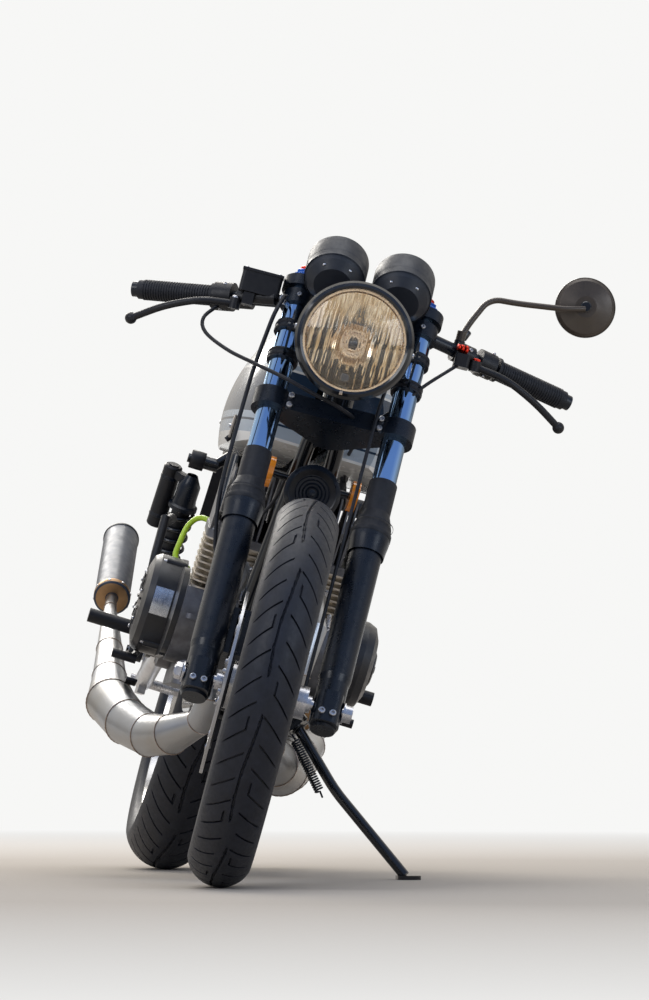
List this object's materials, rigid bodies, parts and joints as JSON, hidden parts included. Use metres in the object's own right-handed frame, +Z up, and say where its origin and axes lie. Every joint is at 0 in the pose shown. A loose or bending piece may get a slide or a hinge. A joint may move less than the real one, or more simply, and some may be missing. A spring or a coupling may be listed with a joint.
{
  "type": "cafe racer motorcycle",
  "caption": "Air-cooled two-stroke twin cafe racer with clip-on bars, spoked wheels and expansion chambers, parked on its side stand.",
  "frame": {"origin": "middle of the footprint's box, on the ground", "axes": "+X towards the front wheel, +Y to the rider's left, +Z up; the machine leans to +Y"},
  "size_m": [1.977, 0.8654, 1.0645],
  "materials": {
    "tyre": "matt",
    "wheel_alloy": "polished",
    "disc_steel": "turned",
    "axle_steel": "satin",
    "chrome_tube": "polished",
    "black_paint": "satin",
    "black_gloss": "gloss",
    "black_satin": "satin",
    "black_rubber": "matt",
    "satin_alloy": "satin",
    "blue_anodised": "anodised",
    "reflector": "polished",
    "clear_glass": "clear",
    "cast_alloy": "cast",
    "barrel_alloy": "cast",
    "cover_black": "satin",
    "spring_dark": "satin",
    "filter_cloth": "woven",
    "raw_steel": "brushed",
    "can_titanium": "satin",
    "tank_paint": "gloss",
    "seat_leather": "satin",
    "red_lens": "gloss",
    "amber_lens": "gloss",
    "chain_steel": "oiled"
  },
  "bodies": {
    "chassis": {"rear_axle": "axle_steel", "frame": "black_gloss", "swingarm": "satin_alloy", "shocks": "spring_dark", "engine_cases": "cast_alloy", "barrels": "barrel_alloy", "heads": "cast_alloy", "plug_caps": "black_rubber", "engine_covers": "cover_black", "carburettors": "satin_alloy", "air_filters": "filter_cloth", "exhaust_chambers": "raw_steel", "silencers": "can_titanium", "fuel_tank": "tank_paint", "tank_cap": "chrome_tube", "seat_pad": "seat_leather", "seat_cowl": "tank_paint", "tail_lamp": "red_lens", "plate_holder": "black_satin", "battery_box": "black_satin", "horn": "black_satin", "side_reflectors": "amber_lens", "rear_sets": "satin_alloy", "kickstart": "chrome_tube", "chain": "chain_steel"},
    "steering": {"front_axle": "axle_steel", "fork_stanchions": "chrome_tube", "fork_sliders": "black_paint", "fork_boots": "black_rubber", "lower_clamp": "satin_alloy", "top_clamp": "satin_alloy", "fork_caps": "blue_anodised", "headlight_shell": "black_gloss", "headlight_reflector": "reflector", "headlight_lens": "clear_glass", "headlight_brackets": "black_paint", "gauges": "black_satin", "gauge_bracket": "black_paint", "clip_ons": "black_paint", "grips": "black_rubber", "master_cylinder": "black_satin", "switchgear": "black_satin", "clutch_perch": "black_satin", "levers": "satin_alloy", "mirror": "black_gloss", "front_caliper": "black_paint", "brake_hose": "black_rubber", "speedo_cable": "black_rubber"},
    "front_wheel": {"front_tyre": "tyre", "front_wheel": "wheel_alloy", "front_disc": "disc_steel"},
    "rear_wheel": {"rear_tyre": "tyre", "rear_wheel": "wheel_alloy", "rear_sprocket": "disc_steel"},
    "side_stand": {"side_stand": "black_gloss"}
  },
  "joints": [
    {"name": "steering", "type": "hinge", "parent": "chassis", "child": "steering", "pos_m": [0.34913, -0.02871, 0.84259], "axis": [-0.4388, 0.2545, 0.8618], "range_deg": [-23.7, 32.3]},
    {"name": "front_wheel_spin", "type": "hinge", "parent": "steering", "child": "front_wheel", "pos_m": [0.67075, -0.18952, 0.31005], "axis": [0.0675, 0.9657, -0.2508], "continuous": true},
    {"name": "rear_wheel_spin", "type": "hinge", "parent": "chassis", "child": "rear_wheel", "pos_m": [-0.66914, -0.18599, 0.30937], "axis": [0.0002, 0.9591, -0.2832], "continuous": true},
    {"name": "side_stand_pivot", "type": "hinge", "parent": "chassis", "child": "side_stand", "pos_m": [0.06088, -0.08296, 0.26319], "axis": [0.2232, 0.7657, 0.6033], "range_deg": [0, 93.89]}
  ]
}
